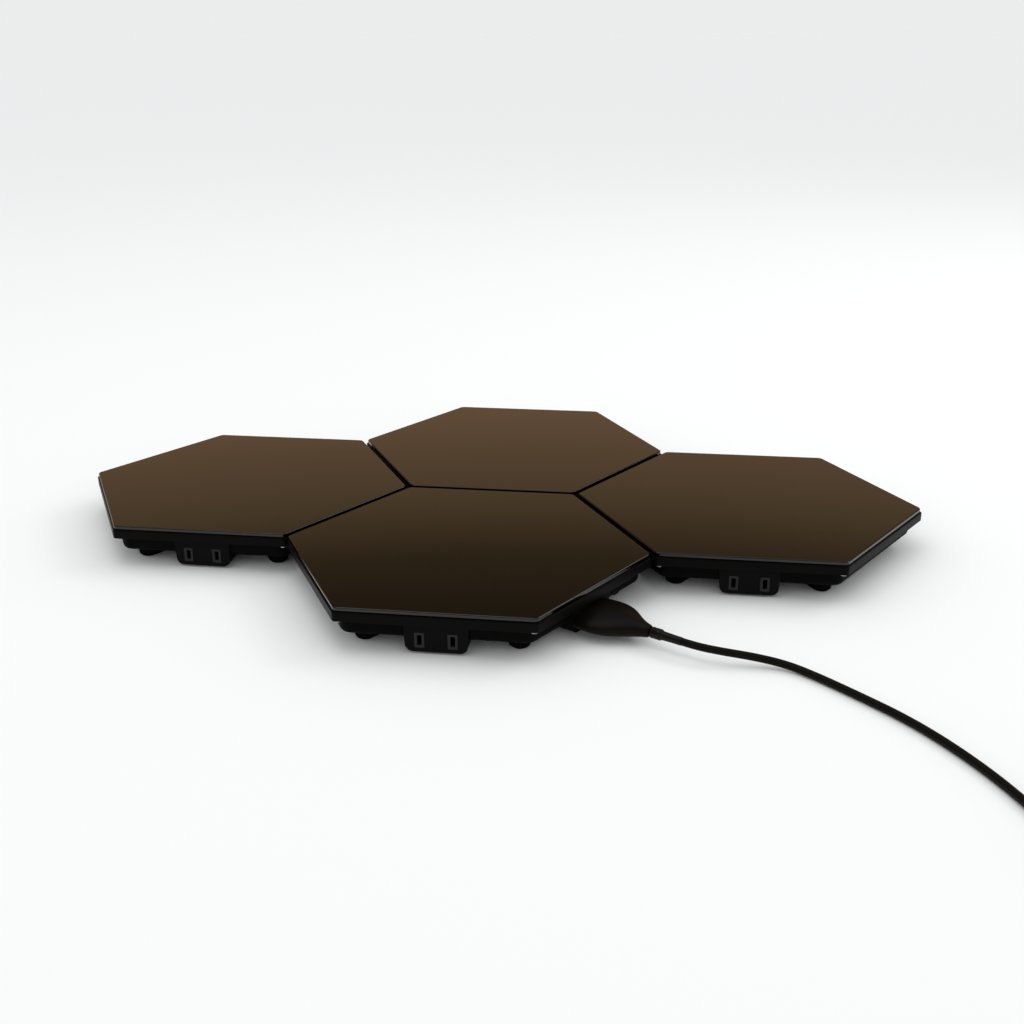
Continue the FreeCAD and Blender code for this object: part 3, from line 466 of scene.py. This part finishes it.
@dataclass
class AppliancePlug:
    """The plug on the front tile: two crowned half shells, a collar and a smooth sleeve for the cord.

    Its stations are the distance from the plug's face, the width and the half height. The relief's are the
    distance from the plug's tail and the radius.
    """

    tile: Tile = Tile.FRONT
    pitch: float = 0.270
    angle: float = -30.0
    face: float = 0.1282
    split: float = 0.0116
    body: str = "supply_lead"
    sides: int = 16
    rounding: int = 3
    ridge_crease: float = 0.45
    seam: float = 0.00035
    seam_facets: int = 2
    swell: float = 1.015
    shell_sharp: float = 40.0
    relief_sharp: float = 50.0
    stations: tuple[tuple[float, float, float], ...] = (
        (0.0000, 0.0520, 0.0080),
        (0.0050, 0.0534, 0.0084),
        (0.0140, 0.0542, 0.0087),
        (0.0230, 0.0490, 0.0086),
        (0.0300, 0.0410, 0.0082),
        (0.0365, 0.0300, 0.0076),
        (0.0430, 0.0196, 0.0066),
        (0.0492, 0.0126, 0.0054),
        (0.0550, 0.0096, 0.0047),
    )
    relief: tuple[tuple[float, float], ...] = (
        (0.0000, 0.0039),
        (0.0004, 0.0044),
        (0.0014, 0.0045),
        (0.0018, 0.0041),
        (0.0026, 0.0041),
        (0.0030, 0.0044),
        (0.0082, 0.0044),
        (0.0090, 0.0038),
        (0.0100, 0.0035),
        (0.0180, 0.0033),
        (0.0256, 0.0032),
        (0.0260, 0.0031),
    )
    relief_sides: int = 40
    pieces: tuple[str, ...] = ("plug_upper_half", "plug_lower_half", "cord_collar")

    @property
    def leave(self) -> Vector:
        """Return the direction in which the plug points."""
        turn = math.radians(self.angle)
        return Vector((math.cos(turn), math.sin(turn), 0))

    def build(self) -> None:
        """Build and dress the two half shells and the collar."""
        upper, lower, collar = self.pieces
        Bench.finish(self.half(1), upper, PLUG, self.body, "plug_upper_shell")
        Bench.finish(self.half(-1), lower, PLUG, self.body, "plug_lower_shell")
        Bench.finish(self.sleeve(), collar, RELIEF, self.body, "cord_strain_relief")

    def disc(self, sides: int, along: float, radius: float) -> bpy.types.Object:
        """Start a piece from a disc across X at a distance along it.

        Args:
            sides: How many corners the disc has.
            along: The disc's distance along X.
            radius: The disc's radius.

        Returns:
            The disc, in edit mode and selected all over.
        """
        Bench.clear()
        bpy.ops.mesh.primitive_circle_add(
            vertices=sides, radius=radius, fill_type="NGON",
            location=(along, 0, self.split), rotation=(0, math.radians(90), 0))
        started = bpy.context.object
        Bench.settle(started)
        bpy.ops.object.mode_set(mode="EDIT")
        bpy.ops.mesh.select_all(action="SELECT")
        return started

    def seat(self, piece: bpy.types.Object) -> None:
        """Turn a piece that was made along X to the plug's side of its tile."""
        piece.location = self.tile.centre(self.pitch)
        piece.rotation_euler = (0, 0, math.radians(self.angle))
        Bench.settle(piece)

    def half(self, side: int) -> bpy.types.Object:
        """Model a half shell: the whole plug drawn out of a disc, creased along its ridge and cut in two.

        Args:
            side: 1 for the upper half, -1 for the lower.

        Returns:
            The half shell, where it belongs.
        """
        first, wide, tall = self.stations[0]
        shell = self.disc(self.sides, self.face + first, 1.0)
        middle = Vector((self.face + first, 0, self.split))
        bpy.ops.transform.resize(value=(1, wide / 2 * self.swell, tall * self.swell),
                                 center_override=middle)
        for before, after in zip(self.stations, self.stations[1:]):
            middle = Vector((self.face + after[0], 0, self.split))
            Bench.extrude_to(after[0] - before[0], after[1] / before[1], after[2] / before[2], middle)
        bpy.ops.mesh.select_all(action="SELECT")
        bpy.ops.mesh.normals_make_consistent(inside=False)
        bpy.ops.object.mode_set(mode="OBJECT")
        Bench.select_edges(
            shell, lambda a, b: max(abs(a.y), abs(b.y)) < ON_PLANE and abs(a.x - b.x) > MM)
        bpy.ops.transform.edge_crease(value=self.ridge_crease)
        bpy.ops.object.mode_set(mode="OBJECT")
        Bench.select_edges(shell, lambda a, b: max(a.x, b.x) < self.face + ON_PLANE)
        bpy.ops.transform.edge_crease(value=1.0)
        bpy.ops.object.mode_set(mode="OBJECT")
        rounder = shell.modifiers.new("rounder", "SUBSURF")
        rounder.levels = rounder.render_levels = self.rounding
        Bench.apply_modifiers(shell)
        bpy.ops.object.mode_set(mode="EDIT")
        bpy.ops.mesh.select_all(action="SELECT")
        bpy.ops.mesh.bisect(plane_co=(0, 0, self.split), plane_no=(0, 0, side), use_fill=True,
                            clear_inner=True, clear_outer=False)
        bpy.ops.object.mode_set(mode="OBJECT")
        Bench.select_edges(
            shell, lambda a, b: max(abs(a.z - self.split), abs(b.z - self.split)) < MERGE_WITHIN)
        Bench.bevel(self.seam, self.seam_facets)
        Bench.smooth(shell, self.shell_sharp)
        self.seat(shell)
        return shell

    def sleeve(self) -> bpy.types.Object:
        """Model the collar behind the plug and the short sleeve that the cord leaves through.

        Returns:
            The sleeve, where it belongs.
        """
        start = self.face + self.stations[-1][0]
        sleeve = self.disc(self.relief_sides, start, self.relief[0][1])
        for before, after in zip(self.relief, self.relief[1:]):
            grow = after[1] / before[1]
            middle = Vector((start + after[0], 0, self.split))
            Bench.extrude_to(after[0] - before[0], grow, grow, middle)
        bpy.ops.mesh.select_all(action="SELECT")
        bpy.ops.mesh.normals_make_consistent(inside=False)
        bpy.ops.object.mode_set(mode="OBJECT")
        Bench.smooth(sleeve, self.relief_sharp)
        self.seat(sleeve)
        return sleeve


@dataclass
class SupplyLead:
    """The lead: appliance plug, strain relief, cord with its put-away coil, tie and mains plug."""

    nodes: dict[str, bpy.types.Object]
    plug: AppliancePlug
    body: str = "supply_lead"
    diameter: float = 0.006
    length: float = 1.56
    turns: float = 5.5
    spacing: float = 0.0066
    coil_middle: float = 0.0345
    coil_level: float = 0.0038
    turn_ease: float = 0.25
    lead_out: float = 0.024
    points_per_turn: int = 24
    tube_facets: int = 5
    line_steps: int = 6
    mains_sharp: float = 40.0
    exit: Vector = field(default_factory=lambda: Vector((0.18031, -0.23910, 0.0116)))
    straight: float = 0.014
    route: tuple[tuple[float, float, float], ...] = (
        (0.211, -0.2495, 0.0104),
        (0.233, -0.2490, 0.0076),
        (0.256, -0.2505, 0.0040),
        (0.276, -0.2635, 0.0030),
        (0.304, -0.2895, 0.0030),
        (0.331, -0.3160, 0.0030),
        (0.355, -0.3470, 0.0030),
        (0.378, -0.3850, 0.0030),
        (0.396, -0.4260, 0.0033),
    )
    coil_start: tuple[float, float] = (0.412, -0.466)

    def build(self) -> None:
        """Build and dress the whole lead."""
        self.plug.build()
        moulded = {"coil_tie": TIE, "mains_plug_body": MAINS}
        for name, finish in moulded.items():
            piece = merged_copy(self.nodes[name], f"{name}_moulding")
            Bench.smooth(piece, self.mains_sharp)
            Bench.weigh_normals(piece)
            Bench.finish(piece, f"{name}_moulding", finish, self.body, name)
        bare = {"plug_blades": BRASS, "mains_plug_pins": NICKEL}
        for name, finish in bare.items():
            dress(self.nodes[name], finish)
        self.cord()

    def coil_points(self, last: Vector, start: Vector) -> list[Vector]:
        """Wind the put-away coil: two layers that spiral in and out again.

        Args:
            last: The route's point before the coil.
            start: The point where the coil begins.

        Returns:
            The control points of the loops and of the straight ends.
        """
        heading = Vector((start.x - last.x, start.y - last.y, 0)).normalized()
        turn_back, inner = self.turns / 2, self.coil_middle - self.spacing * self.turns / 4
        ease = self.turn_ease

        def radius(turn: float) -> float:
            """Return the spiral's radius after some turns."""
            away = abs(turn - turn_back)
            return inner + self.spacing * (away if away > ease else 0.5 * ease + away * away / (2 * ease))

        lean = math.atan2(self.spacing, 2 * math.pi * radius(0))
        angle = math.atan2(heading.y, heading.x) - math.pi / 2 - lean
        first = start + heading * self.diameter
        centre = first - Vector((math.cos(angle), math.sin(angle), 0)) * radius(0)
        outset = 2 / (1 + math.cos(math.pi / self.points_per_turn))
        points = []
        for step in range(round(self.turns * self.points_per_turn) + 1):
            turn = step / self.points_per_turn
            share = min(max(2 * (turn - turn_back) + 0.5, 0.0), 1.0)
            rise = self.spacing * (1 - math.cos(math.pi * share)) / 2
            bearing, reach = angle + 2 * math.pi * turn, radius(turn) * outset
            across = Vector((math.cos(bearing), math.sin(bearing), 0)) * reach
            points.append(Vector((centre.x + across.x, centre.y + across.y, start.z + rise)))
        leave = (points[-1] - points[-2]).normalized()
        return points + [points[-1] + leave * self.lead_out]

    def cord(self) -> None:
        """Lay the cord on one smooth line, from the strain relief to the mains plug.
        """
        start = Vector((*self.coil_start, self.coil_level))
        points = [self.exit, self.exit + self.plug.leave * self.straight, *map(Vector, self.route)]
        points += [start, *self.coil_points(points[-1], start)]
        curve = bpy.data.curves.new("power_cord_line", "CURVE")
        curve.dimensions = "3D"
        curve.bevel_depth = self.diameter / 2
        curve.bevel_resolution = self.tube_facets
        curve.resolution_u = self.line_steps
        curve.use_fill_caps = True
        spline = curve.splines.new("NURBS")
        spline.points.add(len(points) - 1)
        for spot, point in zip(spline.points, points):
            spot.co = (*point, 1.0)
        spline.order_u = 3
        spline.use_endpoint_u = True
        piece = bpy.data.objects.new("supply_cord", curve)
        bpy.context.scene.collection.objects.link(piece)
        Bench.finish(piece, "supply_cord", CORD, self.body, "power_cord", "cord_coil")


@dataclass
class Links:
    """The connectors between tiles."""

    nodes: dict[str, bpy.types.Object]
    names: tuple[str, ...] = ("front_back", "front_right", "back_left")

    def build(self) -> None:
        """Dress each connector and its blades."""
        for name in self.names:
            dress(self.nodes[f"link_{name}_body"], LINK)
            dress(self.nodes[f"link_{name}_blades"], BRASS)


@dataclass
class Studio:
    """Pale floor, soft light and the camera of the photograph."""

    focal_pixels: float = 1259.4
    frame_pixels: float = 1024.0
    sensor: float = 36.0
    place: tuple[float, float, float] = (0.17928, -1.08621, 0.43714)
    yaw: float = 8.38
    pitch: float = 21.01
    roll: float = -0.4
    sight: tuple[float, float] = (0.01, 100.0)
    floor_size: float = 400.0
    floor_centre: tuple[float, float, float] = (0.0, 100.0, -0.0002)
    floor_roughness: float = 0.9
    paper: tuple[float, float, float] = (0.85, 0.85, 0.845)
    air: tuple[float, float, float] = (0.98, 0.99, 1.0)
    boxes: tuple[tuple[str, tuple[float, float, float], tuple[float, float], float], ...] = (
        ("overhead", (-0.5, -0.1, 2.3), (1.6, 1.2), 6.0),
        ("edge_box", (1.75, 1.0, 1.65), (1.3, 0.7), 9.0),
    )
    wall: tuple[tuple[float, tuple[float, float, float]], ...] = (
        (0.00, (0.60, 0.37, 0.21)),
        (0.29, (0.50, 0.30, 0.17)),
        (0.35, (0.36, 0.235, 0.12)),
        (0.39, (0.17, 0.11, 0.055)),
        (0.43, (0.11, 0.072, 0.038)),
        (0.58, (0.08, 0.062, 0.045)),
        (0.72, (0.30, 0.29, 0.28)),
        (0.88, (0.80, 0.80, 0.80)),
    )

    def build(self) -> None:
        """Set up the floor, the lights, the room and the camera."""
        self.floor()
        self.lights()
        self.room()
        self.camera()

    def camera(self) -> None:
        """Place the camera as fitted to the tiles' corners in the photograph."""
        yaw, pitch, roll = (math.radians(angle) for angle in (self.yaw, self.pitch, self.roll))
        level = math.cos(pitch)
        ahead = Vector((-math.sin(yaw) * level, math.cos(yaw) * level, -math.sin(pitch)))
        right = Vector((math.cos(yaw), math.sin(yaw), 0))
        up = right.cross(ahead)
        turned_right = right * math.cos(roll) + up * math.sin(roll)
        turned_up = up * math.cos(roll) - right * math.sin(roll)
        data = bpy.data.cameras.new("camera")
        data.sensor_width = self.sensor
        data.lens = self.focal_pixels / self.frame_pixels * self.sensor
        data.clip_start, data.clip_end = self.sight
        camera = bpy.data.objects.new("camera", data)
        bpy.context.scene.collection.objects.link(camera)
        axes = Matrix((turned_right, turned_up, -ahead)).transposed()
        camera.matrix_world = Matrix.Translation(self.place) @ axes.to_4x4()
        bpy.context.scene.camera = camera

    def floor(self) -> None:
        """Lay a pale floor that is wide enough to reach the horizon."""
        Bench.clear()
        bpy.ops.mesh.primitive_plane_add(size=self.floor_size, location=self.floor_centre)
        floor = bpy.context.object
        floor.name = "floor"
        made = bpy.data.materials.new("floor_paper")
        made.use_nodes = True
        shader = made.node_tree.nodes["Principled BSDF"]
        shader.inputs["Base Color"].default_value = (*self.paper, 1.0)
        shader.inputs["Roughness"].default_value = self.floor_roughness
        shader.inputs["Specular IOR Level"].default_value = 0.0
        floor.data.materials.append(made)

    def lights(self) -> None:
        """Hang the soft boxes: one above for the shadows, one behind to the right for the glass edges."""
        for name, place, size, power in self.boxes:
            data = bpy.data.lights.new(name, "AREA")
            data.shape = "RECTANGLE"
            data.size, data.size_y = size
            data.energy = power
            light = bpy.data.objects.new(name, data)
            bpy.context.scene.collection.objects.link(light)
            light.location = place
            light.rotation_euler = (-Vector(place)).to_track_quat("-Z", "Y").to_euler()

    def room(self) -> None:
        """Light the scene evenly, with a dim warm wall all round for polished faces to mirror."""
        bpy.context.scene.view_settings.view_transform = "Standard"
        world = bpy.data.worlds.new("room")
        bpy.context.scene.world = world
        world.use_nodes = True
        nodes, links = world.node_tree.nodes, world.node_tree.links
        even = nodes["Background"]
        even.inputs["Color"].default_value = (*self.air, 1.0)
        far = nodes.new("ShaderNodeBackground")
        horizon = [tone * light for tone, light in zip(self.paper, self.air)]
        far.inputs["Color"].default_value = (*horizon, 1.0)
        wall = nodes.new("ShaderNodeBackground")
        split = nodes.new("ShaderNodeSeparateXYZ")
        links.new(nodes.new("ShaderNodeTexCoord").outputs["Generated"], split.inputs["Vector"])
        tone = nodes.new("ShaderNodeValToRGB")
        links.new(split.outputs["Z"], tone.inputs["Fac"])
        links.new(tone.outputs["Color"], wall.inputs["Color"])
        steps = tone.color_ramp.elements
        while len(steps) < len(self.wall):
            steps.new(1.0)
        for step, (height, colour) in zip(steps, self.wall):
            step.position = height
            step.color = (*colour, 1.0)
        path = nodes.new("ShaderNodeLightPath")
        seen = even
        for kind, other in (("Is Glossy Ray", wall), ("Is Camera Ray", far)):
            mix = nodes.new("ShaderNodeMixShader")
            links.new(path.outputs[kind], mix.inputs["Fac"])
            links.new(seen.outputs[0], mix.inputs[1])
            links.new(other.outputs["Background"], mix.inputs[2])
            seen = mix
        links.new(seen.outputs["Shader"], nodes["World Output"].inputs["Surface"])


def main() -> None:
    """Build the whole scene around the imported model."""
    logging.basicConfig(level=logging.INFO, format="%(name)s: %(message)s")
    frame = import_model()
    nodes = frame["nodes"]
    Studio().build()
    for tile in Tile:
        WarmingTile(tile, nodes).build()
        LOG.info("%s tile built", tile.word)
    Links(nodes).build()
    SupplyLead(nodes, AppliancePlug()).build()
    Bench.clear()


if __name__ == "__main__":
    main()
